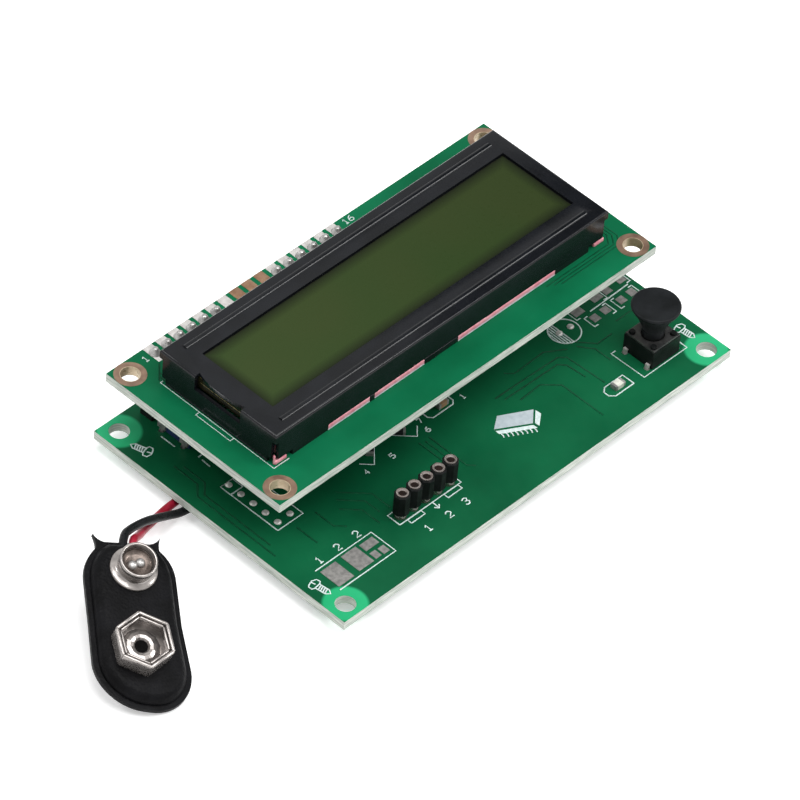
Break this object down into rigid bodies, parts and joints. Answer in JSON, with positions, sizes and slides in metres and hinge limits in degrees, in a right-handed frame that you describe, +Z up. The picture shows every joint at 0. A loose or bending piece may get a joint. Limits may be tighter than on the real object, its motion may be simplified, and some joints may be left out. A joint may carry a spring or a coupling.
{
  "type": "component tester",
  "caption": "Bench component tester: green circuit board with a turned-pin test socket row and push button, a two-line character display plugged in above it and a wired battery snap.",
  "frame": {"origin": "on the supporting surface, under the middle of the main board", "axes": "+X along the long front edge, +Y from the test sockets towards the display's pin header, +Z up"},
  "size_m": [0.1181, 0.052, 0.0229],
  "materials": {
    "board_green": "green solder mask over glass fibre laminate, pale edges",
    "frame_black": "satin black paint on pressed sheet",
    "cell_glass": "clear glass",
    "polariser": "smooth olive film",
    "contact_rubber": "soft pink silicone",
    "light_guide": "clear acrylic",
    "lamp_white": "white moulding",
    "epoxy_black": "black epoxy",
    "moulding_black": "fine matt moulding",
    "cap_black": "satin moulding",
    "solder": "bright tin solder",
    "contact_gold": "gold plated brass",
    "contact_tin": "tin plated brass",
    "switch_metal": "plain tinned sheet",
    "dome_steel": "spring steel",
    "trimmer_blue": "dark moulding",
    "rotor_white": "pale moulding",
    "ceramic_brown": "fired ceramic",
    "chip_black": "coated ceramic",
    "lamp_clear": "milky resin",
    "can_nickel": "nickel plated can",
    "cord_red": "smooth red insulation",
    "cord_black": "smooth black insulation",
    "boot_vinyl": "soft black vinyl with a fine grain",
    "fibre_brown": "pressed fibre board",
    "snap_nickel": "nickel plated sheet"
  },
  "bodies": {
    "tester": {"main_board": "board_green", "display_board": "board_green", "display_frame": "frame_black", "front_glass": "cell_glass", "rear_glass": "cell_glass", "front_film": "polariser", "rear_film": "polariser", "contact_strips": "contact_rubber", "light_guide": "light_guide", "lamp_strip": "lamp_white", "driver_blobs": "epoxy_black", "display_chips": "chip_black", "display_solder": "solder", "header_sockets": "moulding_black", "header_contacts": "contact_tin", "header_spacers": "moulding_black", "header_pins": "contact_gold", "header_solder": "solder", "test_socket_body": "moulding_black", "test_contacts": "contact_gold", "test_socket_solder": "solder", "switch_base": "moulding_black", "switch_cover": "switch_metal", "switch_dome": "dome_steel", "switch_terminals": "switch_metal", "leg_solder": "solder", "trimmer_body": "trimmer_blue", "trimmer_legs": "contact_tin", "chip_resistors": "chip_black", "chip_resistor_ends": "solder", "chip_capacitors": "ceramic_brown", "chip_capacitor_ends": "solder", "indicator_lamp": "lamp_clear", "indicator_lamp_ends": "solder", "microcontroller": "epoxy_black", "microcontroller_leads": "contact_tin", "crystal_base": "moulding_black", "crystal_can": "can_nickel", "regulator_body": "epoxy_black", "regulator_leads": "contact_tin", "transistor_bodies": "epoxy_black", "transistor_leads": "contact_tin", "surface_test_pads": "solder", "spare_pads": "solder", "filled_holes": "solder", "battery_lead_red": "cord_red", "battery_lead_black": "cord_black", "lead_solder": "solder", "snap_boot": "boot_vinyl", "snap_plate": "fibre_brown", "snap_stud": "snap_nickel", "snap_socket": "snap_nickel", "snap_joints": "solder"},
    "button": {"button_cap": "cap_black", "switch_plunger": "moulding_black"},
    "rotor": {"trimmer_rotor": "rotor_white"}
  },
  "joints": [
    {"name": "button_press", "type": "slide", "parent": "tester", "child": "button", "axis": [0, 0, -1], "range_m": [0, 0.00025], "stiffness_N_per_m": 4000, "deforming": ["switch_dome"]},
    {"name": "trimmer_turn", "type": "hinge", "parent": "tester", "child": "rotor", "pos_m": [-0.0306, 0.0171, 0.0084], "axis": [0, 0, 1], "range_deg": [-105, 105]}
  ]
}
